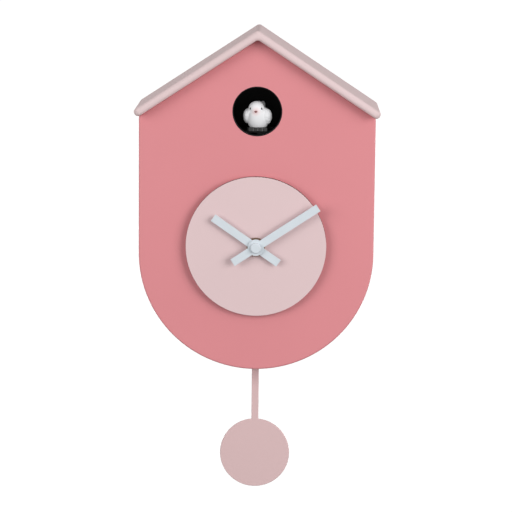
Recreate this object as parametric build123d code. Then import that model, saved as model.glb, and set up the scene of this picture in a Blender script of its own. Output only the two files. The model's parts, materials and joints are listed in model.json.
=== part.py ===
from build123d import *
import math
import os

# House-shaped quartz cuckoo clock for the wall, in millimetres.
# +Z is up and -Y is the front. The origin is the centre of the hanger's keyhole, on the wall plane y = 0.

# House
BODY_WIDTH = 201.0
BODY_DEPTH = 78.0
PANEL_THICK = 6.0
WALL_THICK = 5.0
FRONT_EDGE_RADIUS = 1.6
REAR_EDGE_RADIUS = 1.0
SHOULDER_RADIUS = 3.0
ARC_Z = -152.6
RIDGE_Z = 31.2
BOARD_GAP = 0.1
BACK_THICK = 4.0
BACK_GAP = 0.3

# Roof
ROOF_WIDTH = 208.6
ROOF_DEPTH = 90.0
ROOF_THICK = 7.0
ROOF_SLOPE = math.radians(33.3)
ROOF_EDGE_RADIUS = 3.2
ROOF_CORNER_RADIUS = 5.0
ROOF_RIDGE_RADIUS = 4.0
ROOF_VALLEY_RADIUS = 4.0
PEAK_RADIUS = ROOF_VALLEY_RADIUS + 0.2

# Window, dial and hands
WINDOW_Z = -30.0
WINDOW_RADIUS = 21.2
DIAL_Z = -145.0
DIAL_RADIUS = 60.0
DIAL_THICK = 3.0
SPACER_THICK = 3.0
HAND_WIDTH = 6.8
HAND_THICK = 0.8
HAND_HUB_RADIUS = 6.9
HAND_TAIL = 23.6
MINUTE_LENGTH = 63.2
HOUR_LENGTH = 44.4
MINUTE_ANGLE = 56.4
HOUR_ANGLE = 300.0 + MINUTE_ANGLE / 12
CAP_RADIUS = 4.45

# Pendulum
PIVOT_Z = -124.0
PEG_Z = -171.0
BOB_Z = -335.0
BOB_RADIUS = 30.5
ROD_WIDTH = 6.2
PENDULUM_THICK = 2.5
PENDULUM_Y = -43.8
SLOT_HALF_WIDTH = 18.0

# Gear teeth, shared by every wheel
PRESSURE_ANGLE = math.radians(20.0)
ADDENDUM = 0.7
DEDENDUM = 1.0
TOOTH_SLACK = 0.24
FLANK_STEPS = 2

# Running and assembly clearances, on the radius
RUNNING = 0.06
SNUG = 0.02
LOOSE = 0.1

# Planes along the depth, from the wall to the front
FRONT_Y = -BODY_DEPTH
PANEL_Y = FRONT_Y + PANEL_THICK
GASKET_THICK = 1.0
CASE_FRONT_Y = PANEL_Y + GASKET_THICK
CASE_DEPTH = 16.0
CASE_WALL = 1.4
LID_Y = CASE_FRONT_Y + CASE_DEPTH
DIAL_BACK_Y = FRONT_Y - SPACER_THICK
DIAL_FRONT_Y = DIAL_BACK_Y - DIAL_THICK
WASHER_THICK = 0.6
NUT_THICK = 2.4
NUT_RADIUS = 7.9
NUT_FRONT_Y = DIAL_FRONT_Y - WASHER_THICK - NUT_THICK
HOUR_HAND_Y = NUT_FRONT_Y - 0.9
MINUTE_HAND_Y = HOUR_HAND_Y - HAND_THICK - 1.0
CAP_HEIGHT = 3.0

# Movement: stem, arbors and wheel layers
STEM_RADIUS = 4.0
TUBE_OUTER = 2.45
ARBOR_RADIUS = 1.2
PIVOT_RADIUS = 0.8
CASE_SIZE = 56.0
HOUR_LAYER_Y = CASE_FRONT_Y + 3.6
MINUTE_LAYER_Y = CASE_FRONT_Y + 5.4
CENTRE_LAYER_Y = CASE_FRONT_Y + 7.0
THIRD_LAYER_Y = CASE_FRONT_Y + 8.6
WHEEL_THICK = 0.9
PINION_TEETH = 12
CANNON_MODULE = 0.55
MINUTE_TEETH = 36
HOUR_MODULE = 0.44
HOUR_TEETH = 48
CENTRE_MODULE = 0.25
CENTRE_TEETH = 90
THIRD_MODULE = 0.22
THIRD_TEETH = 96
THIRD_TO_STEP_ANGLE = -100.0

# Cuckoo unit
TUNNEL_RADIUS = 20.4
TUNNEL_HALF_WIDTH = 22.0
TUNNEL_TOP_Z = -8.0
TUNNEL_REAR_Y = -18.0
HOUSING_WALL = 1.6
FLANGE_THICK = 1.8
FLANGE_HALF_WIDTH = 33.0
FLANGE_TOP_Z = -1.0
FLANGE_BOTTOM_Z = -56.0
RAIL_FLOOR_Z = -47.4
BAR_BOTTOM_Z = -47.3
BAR_TOP_Z = -44.0
BAR_FLANGE_THICK = 1.2
BAR_FRONT_Y = -73.0
BAR_REAR_Y = -20.0
BAR_HALF_WIDTH = 6.2
BAR_NECK_HALF_WIDTH = 4.0
RACK_MODULE = 0.8
RACK_PINION_TEETH = 14
DRIVE_MODULE = 0.5
DRIVE_TEETH = 40
DRIVE_Y = -58.0
MOTOR_LENGTH = 25.0
PERCH_BOTTOM_Z = -47.0
PERCH_HALF_WIDTH = 7.8
BIRD_X = 0.6
BIRD_Y = -66.5
BIRD_TURN = 12.0
HEAD_TURN = 8.0
HEAD_SHIFT = (-1.3, -0.3)
BIRD_HEIGHT = 22.0
BIRD_HEAD_RADIUS = 7.1

# Sound and power
SPEAKER_X = -52.0
SPEAKER_Z = -100.0
SPEAKER_RADIUS = 20.0
SPEAKER_DEPTH = 15.0
BOARD_X = 57.0
BOARD_Z = -100.0
BOARD_WIDTH = 42.0
BOARD_HEIGHT = 44.0
BOARD_REAR_Y = -11.0
BOARD_THICK = 1.6
PLUG_HEIGHT = 5.0
SWITCH_X = 56.0
SWITCH_Z = -89.0
BUTTON_Z = -107.0
CELL_RADIUS = 7.15
CELL_LENGTH = 49.2
CELL_PITCH = 15.5
CELL_MIDDLE_Z = -211.0
CELL_Y = -12.8
DOOR_HALF_WIDTH = 30.0
DOOR_HINGE_Z = -233.5
DOOR_TOP_Z = -188.8
DOOR_HINGE_Y = -1.8
DOOR_HALF_THICK = 1.4
LEAD_RADIUS = 1.0

# Values worked out from the driving dimensions
BODY_RADIUS = BODY_WIDTH / 2
INNER_RADIUS = BODY_RADIUS - WALL_THICK
MINUTE_AXIS_X = CANNON_MODULE * (PINION_TEETH + MINUTE_TEETH) / 2
THIRD_AXIS_X = -CENTRE_MODULE * (PINION_TEETH + CENTRE_TEETH) / 2
STEP_DISTANCE = THIRD_MODULE * (PINION_TEETH + THIRD_TEETH) / 2
STEP_X = THIRD_AXIS_X + STEP_DISTANCE * math.cos(math.radians(THIRD_TO_STEP_ANGLE))
STEP_Z = DIAL_Z + STEP_DISTANCE * math.sin(math.radians(THIRD_TO_STEP_ANGLE))
RACK_PITCH_RADIUS = RACK_MODULE * RACK_PINION_TEETH / 2
RACK_PITCH_X = BAR_HALF_WIDTH + DEDENDUM * RACK_MODULE
DRIVE_X = RACK_PITCH_X + RACK_PITCH_RADIUS
MOTOR_Y = DRIVE_Y + DRIVE_MODULE * (DRIVE_TEETH + PINION_TEETH) / 2
FLOOR_BOTTOM_Z = RAIL_FLOOR_Z - HOUSING_WALL
TRAY_BOTTOM_Z = FLOOR_BOTTOM_Z - 7.7
BACK_FRONT_Y = -BACK_THICK
SPEAKER_FRONT_Y = BACK_FRONT_Y - SPEAKER_DEPTH
PLUG_Y = BOARD_REAR_Y - BOARD_THICK - PLUG_HEIGHT


# Shape helpers

def slab(sketch, back, front):
    """A sketch drawn in X and Z, extruded forward from y = back to y = front."""
    return extrude(Plane.XZ.offset(-back) * sketch, amount=back - front, dir=(0, -1, 0))


def disc(radius, back, front, x=0.0, z=0.0):
    """A cylinder along Y."""
    return slab(Pos(x, z) * Circle(radius), back, front)


def ring(outer, inner, back, front, x=0.0, z=0.0):
    """A tube along Y."""
    return slab(Pos(x, z) * (Circle(outer) - Circle(inner)), back, front)


def post(radius, bottom, top, x, y):
    """A cylinder along Z."""
    return Pos(x, y, (bottom + top) / 2) * Cylinder(radius, top - bottom)


def block(x0, x1, y0, y1, z0, z1):
    """A box between two corners."""
    return Pos((x0 + x1) / 2, (y0 + y1) / 2, (z0 + z1) / 2) * Box(x1 - x0, y1 - y0, z1 - z0)


def edges_at_y(shape, y):
    """The edges that lie wholly in the plane at y."""
    return shape.edges().filter_by_position(Axis.Y, y - 0.01, y + 0.01)


def both_sides(shape):
    """A solid and its mirror image across the middle plane."""
    return [shape, mirror(shape, about=Plane.YZ)]


def group(solids):
    """Separate solids kept together in one node."""
    return Compound(children=list(solids))


def roof_underside(x):
    """Height of the roof's underside at a distance x from the middle."""
    return RIDGE_Z - abs(x) * math.tan(ROOF_SLOPE)


def house_face(half_width, drop):
    """The gabled outline, with a rounded peak and a half-round base; drop lowers it below the roof."""
    shoulder = roof_underside(half_width) - drop
    left = [(-half_width, ARC_Z), (-half_width, shoulder)]
    right = [(half_width, shoulder), (half_width, ARC_Z)]
    gable = Polyline(*left, (0, RIDGE_Z - drop), *right)
    base = ThreePointArc((half_width, ARC_Z), (0, ARC_Z - half_width), (-half_width, ARC_Z))
    outline = make_face(gable + base)
    return fillet(outline.vertices().sort_by(Axis.Y)[-1], PEAK_RADIUS)


def screw(x, z, head_y, reach, head_radius, shank_radius, head_height):
    """A cross-head screw along Y: its head's outer face is at head_y and its shank points forward."""
    body = disc(head_radius, head_y, head_y - head_height, x, z)
    body += disc(shank_radius, head_y - head_height, head_y - reach, x, z)
    arm = head_radius * 0.6
    for half_x, half_z in ((arm, 0.35), (0.35, arm)):
        body -= block(x - half_x, x + half_x, head_y - 0.7, head_y + 1, z - half_z, z + half_z)
    return body


def involute(angle):
    return math.tan(angle) - angle


def gear_face(module, teeth, tooth_at):
    """A spur gear with involute flanks; one tooth is centred at the angle tooth_at, in degrees."""
    pitch_radius = module * teeth / 2
    base_radius = pitch_radius * math.cos(PRESSURE_ANGLE)
    tip_radius = pitch_radius + ADDENDUM * module
    root_radius = pitch_radius - DEDENDUM * module
    half_tooth = (math.pi / 2 - TOOTH_SLACK) / teeth
    flank_start = max(base_radius, root_radius)
    flank = []
    for step in range(FLANK_STEPS + 1):
        radius = flank_start + (tip_radius - flank_start) * step / FLANK_STEPS
        angle = half_tooth + involute(PRESSURE_ANGLE) - involute(math.acos(base_radius / radius))
        flank.append((radius, angle))
    if root_radius < flank_start:
        flank.insert(0, (root_radius, flank[0][1]))
    points = []
    for tooth in range(teeth):
        middle = math.radians(tooth_at + 360 * tooth / teeth)
        outline = [(radius, middle - angle) for radius, angle in flank]
        outline += [(radius, middle + angle) for radius, angle in reversed(flank)]
        points += [(radius * math.cos(turn), radius * math.sin(turn)) for radius, turn in outline]
    return make_face(Polyline(*points, close=True))


def wheel(module, teeth, tooth_at, layer_y, x, thick=WHEEL_THICK):
    """A gear of the movement, with its middle at layer_y, on the arbor at x."""
    face = Pos(x, DIAL_Z) * gear_face(module, teeth, tooth_at)
    return slab(face, layer_y + thick / 2, layer_y - thick / 2)


def half_pitch(teeth):
    """The angle from a gap to the next tooth."""
    return 180 / teeth


# Case

def make_roof():
    """The chevron roof: rounded ridge, valley and plan corners, and nearly half-round edges."""
    along = (math.cos(ROOF_SLOPE), -math.sin(ROOF_SLOPE))
    ridge_top = RIDGE_Z + ROOF_THICK / math.cos(ROOF_SLOPE)
    rounding_loss = ROOF_EDGE_RADIUS * (along[0] - along[1] - 1)
    eave_x = ROOF_WIDTH / 2 + rounding_loss
    eave_top = ridge_top - eave_x * math.tan(ROOF_SLOPE)
    eave_low_x = eave_x + ROOF_THICK * along[1]
    eave_low_z = eave_top - ROOF_THICK * along[0]
    right = [(0, RIDGE_Z), (eave_low_x, eave_low_z), (eave_x, eave_top), (0, ridge_top)]
    left = [(-x, z) for x, z in reversed(right[1:3])]
    profile = make_face(Polyline(*right, *left, close=True))
    roof = slab(profile, 0, -ROOF_DEPTH)
    roof = fillet(roof.edges().filter_by(Axis.Y).sort_by(Axis.Z)[-1], ROOF_RIDGE_RADIUS)
    middle = roof.edges().filter_by(Axis.Y).filter_by_position(Axis.X, -0.1, 0.1)
    roof = fillet(middle, ROOF_VALLEY_RADIUS)
    across = [
        edge
        for edge in roof.edges()
        if abs(edge.length - ROOF_THICK) < 0.01 and abs(edge.center().X) > eave_low_x - 1
    ]
    roof = fillet(across, ROOF_CORNER_RADIUS)
    ridge_lines = [edge for edge in roof.edges().filter_by(Axis.Y) if abs(edge.center().X) < 10]
    rims = [edge for edge in roof.edges() if edge.length > ROOF_THICK + 0.1 and edge not in ridge_lines]
    return fillet(rims, ROOF_EDGE_RADIUS)


def make_front_panel():
    """The front, with rounded shoulders and a rounded front edge."""
    panel = slab(house_face(BODY_RADIUS, BOARD_GAP), PANEL_Y, FRONT_Y)
    shoulders = [
        edge
        for edge in panel.edges().filter_by(Axis.Y)
        if abs(edge.center().X) > BODY_RADIUS - 0.1 and edge.center().Z > ARC_Z + 1
    ]
    panel = fillet(shoulders, SHOULDER_RADIUS)
    panel = fillet(edges_at_y(panel, FRONT_Y), FRONT_EDGE_RADIUS)
    panel -= disc(WINDOW_RADIUS, PANEL_Y + 1, FRONT_Y - 1, 0, WINDOW_Z)
    panel -= disc(STEM_RADIUS + LOOSE, PANEL_Y + 1, FRONT_Y - 1, 0, DIAL_Z)
    for x, z in housing_screw_places():
        panel -= disc(1.2 + SNUG, PANEL_Y, PANEL_Y - 4.2, x, z)
    return panel


def make_side_wall():
    """The wall bent round the base, with the pendulum's slot in the bottom."""
    inside = Circle(INNER_RADIUS) + Pos(0, BODY_WIDTH / 2) * Rectangle(2 * INNER_RADIUS, BODY_WIDTH)
    wall = slab(house_face(BODY_RADIUS, BOARD_GAP) - Pos(0, ARC_Z) * inside, 0, PANEL_Y)
    inner_arc = INNER_RADIUS * math.pi
    rim = edges_at_y(wall, 0)
    outer = [edge for edge in rim if abs(edge.center().X) > BODY_RADIUS - 0.1 or edge.length > inner_arc + 1]
    wall = fillet(outer, REAR_EDGE_RADIUS)
    slot_y = PENDULUM_Y - PENDULUM_THICK / 2
    slot = Rectangle(2 * SLOT_HALF_WIDTH, 12)
    slot = Plane.XY.offset(ARC_Z - BODY_RADIUS - 1) * (Pos(0, slot_y) * slot)
    return wall - extrude(slot, amount=20, dir=(0, 0, 1))


def make_roof_cleats():
    """Two strips in the corners between the side wall and the roof."""
    outer = INNER_RADIUS
    inner = outer - 10
    low = roof_underside(outer) - 12
    corners = [(outer, low), (outer, roof_underside(outer)), (inner, roof_underside(inner)), (inner, low)]
    cleat = slab(make_face(Polyline(*corners, close=True)), -8, PANEL_Y + 4)
    return group(both_sides(cleat))


def fixing_places():
    """Screw places of the back panel: two on the straight walls and two on the curve."""
    reach = INNER_RADIUS - 7
    low_angle = math.radians(-38)
    low = (reach * math.cos(low_angle), ARC_Z + reach * math.sin(low_angle))
    return [(side * x, z) for x, z in ((reach, -70.0), low) for side in (1, -1)]


def make_fixing_blocks():
    room = slab(house_face(INNER_RADIUS, 1), BACK_FRONT_Y, BACK_FRONT_Y - 14)
    solids = []
    for x, z in fixing_places():
        cube = block(x - 8, x + 8, BACK_FRONT_Y - 14, BACK_FRONT_Y, z - 8, z + 8)
        solids.append((cube & room) - disc(1.4 + SNUG, BACK_FRONT_Y, BACK_FRONT_Y - 12, x, z))
    return group(solids)


def make_back_screws():
    return group(screw(x, z, -0.2, 14, 3.0, 1.4, 2.0) for x, z in fixing_places())


def hanger_screw_places():
    return [(-11, 2), (11, 2)]


def keyhole(entry, slot, rise):
    """A keyhole outline: a round entry at the origin and a narrower slot above it."""
    return Circle(entry) + Pos(0, rise / 2) * Rectangle(2 * slot, rise) + Pos(0, rise) * Circle(slot)


def hanger_outline():
    return Pos(0, 3) * RectangleRounded(30, 26, 4)


def make_hanger_plate():
    plate = slab(hanger_outline() - keyhole(5, 2.5, 10), 0, -1.2)
    for x, z in hanger_screw_places():
        plate -= hanger_screw_shape(x, z, SNUG)
    return plate


def hanger_screw_shape(x, z, grow):
    """A countersunk screw, flush with the plate."""
    head = Pos(x, -0.6, z) * Rot(90, 0, 0) * Cone(2.2 + grow, 1.0 + grow, 1.2)
    return head + disc(1.0 + grow, -1.2, -3.8, x, z)


def make_hanger_screws():
    solids = []
    for x, z in hanger_screw_places():
        slotted = block(x - 2.5, x + 2.5, -0.5, 1, z - 0.3, z + 0.3)
        solids.append(hanger_screw_shape(x, z, 0) - slotted)
    return group(solids)


def speaker_slots():
    """Sound slots behind the speaker: a stack of rounded slots inside a circle."""
    slots = None
    for row in range(-3, 4):
        z = row * 5.0
        width = 2 * math.sqrt((SPEAKER_RADIUS - 3) ** 2 - z**2)
        slot = Pos(SPEAKER_X, SPEAKER_Z + z) * SlotOverall(width, 2.2)
        slots = slot if slots is None else slots + slot
    return slots


def board_post_places():
    half_width = BOARD_WIDTH / 2 - 3.5
    half_height = BOARD_HEIGHT / 2 - 3.5
    return [(BOARD_X + side * half_width, BOARD_Z + end * half_height) for side in (1, -1) for end in (1, -1)]


def make_back_panel():
    """The back, with its openings and with the posts of the sound board."""
    panel = slab(house_face(INNER_RADIUS - BACK_GAP, BOARD_GAP), 0, BACK_FRONT_Y)
    through = BACK_FRONT_Y - 1
    panel -= slab(offset(hanger_outline(), LOOSE), 0.5, -1.2)
    panel -= slab(keyhole(8, 6, 10), 0.5, through)
    panel -= slab(speaker_slots(), 1, through)
    panel -= disc(10.5, 1, through, MINUTE_AXIS_X, DIAL_Z)
    panel -= disc(4.15, 1, through, SWITCH_X, BUTTON_Z)
    panel -= block(SWITCH_X - 4.3, SWITCH_X + 4.3, through, 1, SWITCH_Z - 1.5, SWITCH_Z + 1.5)
    panel -= block(
        -DOOR_HALF_WIDTH - 0.3, DOOR_HALF_WIDTH + 0.3, through, 1, DOOR_HINGE_Z - 1.8, DOOR_TOP_Z + 0.4
    )
    panel -= disc(8, 1, -2.4, 0, DOOR_TOP_Z)
    trunnion_bore = Pos(0, DOOR_HINGE_Y, DOOR_HINGE_Z) * Rot(0, 90, 0)
    panel -= trunnion_bore * Cylinder(0.9 + RUNNING, 2 * DOOR_HALF_WIDTH + 4)
    for x, z in fixing_places():
        panel -= disc(1.4 + LOOSE, 1, through, x, z)
        panel -= disc(3.0 + LOOSE, 1, -2.3, x, z)
    for x, z in hanger_screw_places():
        panel -= disc(1.0 + SNUG, 0, -3.85, x, z)
    for x, z in board_post_places():
        panel += disc(2.6, BACK_FRONT_Y, BOARD_REAR_Y, x, z)
        panel += disc(1.2, BOARD_REAR_Y, BOARD_REAR_Y - BOARD_THICK - 0.8, x, z)
    return panel


# Dial and hands

def make_dial():
    dial = disc(DIAL_RADIUS, DIAL_BACK_Y, DIAL_FRONT_Y, 0, DIAL_Z)
    dial = fillet(edges_at_y(dial, DIAL_FRONT_Y), 0.3)
    return dial - disc(STEM_RADIUS + LOOSE, DIAL_BACK_Y + 1, DIAL_FRONT_Y - 1, 0, DIAL_Z)


def make_dial_spacer():
    return ring(26, 6, FRONT_Y, DIAL_BACK_Y, 0, DIAL_Z)


def make_stem_washer():
    return ring(7, STEM_RADIUS + SNUG, DIAL_FRONT_Y, DIAL_FRONT_Y - WASHER_THICK, 0, DIAL_Z)


def make_stem_nut():
    """A thin round nut with a knurled rim and a turned front edge."""
    back = DIAL_FRONT_Y - WASHER_THICK
    flutes = 24
    rim = Circle(NUT_RADIUS)
    for flute in range(flutes):
        rim -= Rot(0, 0, 360 / flutes * flute) * Pos(NUT_RADIUS + 0.1, 0) * Circle(0.35)
    nut = slab(Pos(0, DIAL_Z) * (rim - Circle(STEM_RADIUS + SNUG)), back, NUT_FRONT_Y)
    turned = Pos(0, (back + NUT_FRONT_Y) / 2, DIAL_Z) * Rot(90, 0, 0)
    return nut & turned * Cone(NUT_RADIUS + 1.5, NUT_RADIUS - 0.4, NUT_THICK)


def hand(length, angle, back, bore):
    """A flat bar hand with a tail and a round hub; angle is clockwise from the top."""
    bar = Pos(0, (length - HAND_TAIL) / 2) * Rectangle(HAND_WIDTH, length + HAND_TAIL)
    outline = Rot(0, 0, -angle) * bar + Circle(HAND_HUB_RADIUS)
    blade = slab(Pos(0, DIAL_Z) * outline, back, back - HAND_THICK)
    blade = chamfer(edges_at_y(blade, back - HAND_THICK), 0.15)
    return blade - disc(bore, back + 1, back - HAND_THICK - 1, 0, DIAL_Z)


def make_hour_hand():
    return hand(HOUR_LENGTH, HOUR_ANGLE, HOUR_HAND_Y, TUBE_OUTER + SNUG)


def make_minute_hand():
    return hand(MINUTE_LENGTH, MINUTE_ANGLE, MINUTE_HAND_Y, ARBOR_RADIUS + SNUG)


def make_hand_cap():
    back = MINUTE_HAND_Y - HAND_THICK
    cap = disc(CAP_RADIUS, back, back - CAP_HEIGHT, 0, DIAL_Z)
    cap = fillet(edges_at_y(cap, back - CAP_HEIGHT), 1.0)
    return cap - disc(ARBOR_RADIUS + SNUG, back, back - 2.0, 0, DIAL_Z)


# Movement

def case_square(size, radius):
    return Pos(0, DIAL_Z) * RectangleRounded(size, size, radius)


def make_gasket():
    return ring(11, STEM_RADIUS + LOOSE, CASE_FRONT_Y, PANEL_Y, 0, DIAL_Z)


def make_movement_case():
    """The front half of the movement: a tray with bearings for the arbors."""
    lid_seat = LID_Y - CASE_WALL
    floor_y = CASE_FRONT_Y + CASE_WALL
    case = slab(case_square(CASE_SIZE, 4), lid_seat, CASE_FRONT_Y)
    case -= slab(case_square(CASE_SIZE - 2 * CASE_WALL, 3), lid_seat + 1, floor_y)
    case -= disc(STEM_RADIUS + SNUG, lid_seat, CASE_FRONT_Y - 1, 0, DIAL_Z)
    for x in (MINUTE_AXIS_X, THIRD_AXIS_X):
        case -= disc(PIVOT_RADIUS + RUNNING, floor_y + 1, CASE_FRONT_Y + 0.3, x, DIAL_Z)
    return case


def make_movement_lid():
    lid = slab(case_square(CASE_SIZE, 4), LID_Y, LID_Y - CASE_WALL)
    lid = fillet(edges_at_y(lid, LID_Y), 0.6)
    for x, radius in ((0, ARBOR_RADIUS), (MINUTE_AXIS_X, ARBOR_RADIUS), (THIRD_AXIS_X, PIVOT_RADIUS)):
        lid -= disc(radius + RUNNING, LID_Y + 1, LID_Y - CASE_WALL - 1, x, DIAL_Z)
    return lid


def make_mounting_stem():
    """The stem that clamps the movement, washer and nut to the dial; the hour tube runs inside it."""
    seat = CASE_FRONT_Y + CASE_WALL
    stem = disc(STEM_RADIUS, seat, NUT_FRONT_Y - 0.3, 0, DIAL_Z) + disc(6.5, seat + 0.8, seat, 0, DIAL_Z)
    return stem - disc(TUBE_OUTER + RUNNING, seat + 2, NUT_FRONT_Y - 1, 0, DIAL_Z)


def make_centre_wheel():
    """Centre wheel, cannon pinion and the arbor that carries the minute hand."""
    solid = wheel(CENTRE_MODULE, CENTRE_TEETH, 180, CENTRE_LAYER_Y, 0)
    solid += wheel(CANNON_MODULE, PINION_TEETH, 0, MINUTE_LAYER_Y, 0, WHEEL_THICK + 0.7)
    return solid + disc(ARBOR_RADIUS, LID_Y - 0.4, MINUTE_HAND_Y - HAND_THICK - 1.8, 0, DIAL_Z)


def make_hour_wheel():
    """Hour wheel and the tube that carries the hour hand."""
    solid = wheel(HOUR_MODULE, HOUR_TEETH, 0, HOUR_LAYER_Y, 0)
    solid += disc(TUBE_OUTER, HOUR_LAYER_Y, HOUR_HAND_Y - HAND_THICK - 0.2, 0, DIAL_Z)
    return solid - disc(ARBOR_RADIUS + RUNNING, LID_Y, MINUTE_HAND_Y, 0, DIAL_Z)


def make_minute_wheel():
    """Minute wheel and pinion; its arbor comes out of the lid for setting."""
    toward_centre = 180
    x = MINUTE_AXIS_X
    solid = wheel(CANNON_MODULE, MINUTE_TEETH, toward_centre + half_pitch(MINUTE_TEETH), MINUTE_LAYER_Y, x)
    solid += wheel(HOUR_MODULE, PINION_TEETH, toward_centre + half_pitch(PINION_TEETH), HOUR_LAYER_Y, x, 1.6)
    solid += disc(PIVOT_RADIUS, MINUTE_LAYER_Y, CASE_FRONT_Y + 0.5, x, DIAL_Z)
    return solid + disc(ARBOR_RADIUS, LID_Y + 5, MINUTE_LAYER_Y, x, DIAL_Z)


def make_third_wheel():
    x = THIRD_AXIS_X
    solid = wheel(THIRD_MODULE, THIRD_TEETH, THIRD_TO_STEP_ANGLE, THIRD_LAYER_Y, x, 0.8)
    solid += wheel(CENTRE_MODULE, PINION_TEETH, half_pitch(PINION_TEETH), CENTRE_LAYER_Y, x, 1.4)
    return solid + disc(PIVOT_RADIUS, LID_Y - 0.4, CASE_FRONT_Y + 0.5, x, DIAL_Z)


def make_step_pinion():
    face = gear_face(THIRD_MODULE, PINION_TEETH, THIRD_TO_STEP_ANGLE + 180 + half_pitch(PINION_TEETH))
    pinion = slab(Pos(STEP_X, STEP_Z) * face, THIRD_LAYER_Y + 0.6, THIRD_LAYER_Y - 0.6)
    return pinion + disc(0.5, THIRD_LAYER_Y + 4.5, THIRD_LAYER_Y, STEP_X, STEP_Z)


def make_step_motor():
    """The sealed, geared step motor that turns the train."""
    front = THIRD_LAYER_Y + 1.0
    can = slab(Pos(STEP_X, STEP_Z) * RectangleRounded(15, 11, 2), front + 4.2, front)
    return can - disc(0.5 + RUNNING, front + 3.9, front - 1, STEP_X, STEP_Z)


def make_movement_board():
    """The circuit board of the movement, with its chip."""
    rear = LID_Y - CASE_WALL - 1.0
    board = slab(Pos(0, DIAL_Z + 20.5) * Rectangle(46, 9), rear, rear - 1.2)
    return board + slab(Pos(9, DIAL_Z + 20.5) * Rectangle(6, 6), rear - 1.2, rear - 2.2)


def make_setting_shaft():
    """The extension from the minute wheel's arbor to the knob at the back."""
    shaft = disc(2.2, -2.5, LID_Y + 1.0, MINUTE_AXIS_X, DIAL_Z)
    return shaft - disc(ARBOR_RADIUS + SNUG, LID_Y + 5.2, LID_Y, MINUTE_AXIS_X, DIAL_Z)


def make_setting_knob():
    """A fluted knob, flush inside the hole of the back panel."""
    rim = Circle(9.4)
    for flute in range(18):
        rim -= Rot(0, 0, 20 * flute) * Pos(9.6, 0) * Circle(0.7)
    knob = slab(Pos(MINUTE_AXIS_X, DIAL_Z) * rim, -0.8, -7.0)
    return knob - disc(2.2 + SNUG, -2.4, -8, MINUTE_AXIS_X, DIAL_Z)


# Pendulum and its drive

def make_drive_coil():
    return ring(8, 3, LID_Y + 3.4, LID_Y, 0, DIAL_Z - 18)


def make_pendulum_bracket():
    """A bracket on the lid with two ears for the pivot pin."""
    top = DIAL_Z + CASE_SIZE / 2 - 1
    bracket = block(-9, 9, LID_Y, LID_Y + 1.4, PIVOT_Z - 7, top)
    bracket += block(-6, 6, LID_Y, LID_Y + 13.8, top - 1.5, top)
    bracket += block(-6, 6, LID_Y + 12.4, LID_Y + 13.8, PIVOT_Z - 5, top)
    return bracket - disc(1.0 + SNUG, LID_Y + 20, LID_Y - 1, 0, PIVOT_Z)


def make_pivot_pin():
    return disc(1.0, LID_Y + 14.2, LID_Y + 0.2, 0, PIVOT_Z)


def make_swing_arm():
    """The arm on the pivot pin, with the peg that the pendulum hangs on."""
    rear = PENDULUM_Y - PENDULUM_THICK - 0.1
    arm = disc(3.2, LID_Y + 11.6, LID_Y + 2.4, 0, PIVOT_Z)
    arm += slab(Pos(0, (PIVOT_Z + PEG_Z) / 2) * Rectangle(7, PIVOT_Z - PEG_Z), rear, rear - 2)
    arm += disc(3.5, rear, rear - 2, 0, PEG_Z)
    peg_end = PENDULUM_Y + 0.2
    arm += disc(1.4, peg_end, rear, 0, PEG_Z) + disc(2.2, peg_end + 0.8, peg_end, 0, PEG_Z)
    return arm - disc(1.0 + RUNNING, LID_Y + 20, LID_Y, 0, PIVOT_Z)


def make_drive_magnet():
    back = PENDULUM_Y - PENDULUM_THICK - 2.1
    return disc(5, back, back - 2.2, 0, DIAL_Z - 18)


def make_pendulum():
    """One flat piece: hook end with a keyhole, rod and round bob."""
    rod_top = PEG_Z - 8
    outline = Pos(0, (rod_top + BOB_Z) / 2) * Rectangle(ROD_WIDTH, rod_top - BOB_Z)
    outline += Pos(0, BOB_Z) * Circle(BOB_RADIUS)
    outline += Pos(0, PEG_Z - 4) * RectangleRounded(11, 20, 5)
    outline = fillet([v for v in outline.vertices() if v.Y < PEG_Z - 20], 0.7)
    outline -= Pos(0, PEG_Z - 6) * keyhole(2.6, 1.5, 6)
    plate = slab(outline, PENDULUM_Y, PENDULUM_Y - PENDULUM_THICK)
    rims = [edge for y in (PENDULUM_Y, PENDULUM_Y - PENDULUM_THICK) for edge in edges_at_y(plate, y)]
    return fillet([edge for edge in rims if edge.center().Z < PEG_Z - 25], 0.6)


# Cuckoo unit

def housing_screw_places():
    heights = (FLANGE_TOP_Z - 4, FLANGE_BOTTOM_Z + 4)
    return [(side * (FLANGE_HALF_WIDTH - 4), z) for side in (1, -1) for z in heights]


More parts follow.
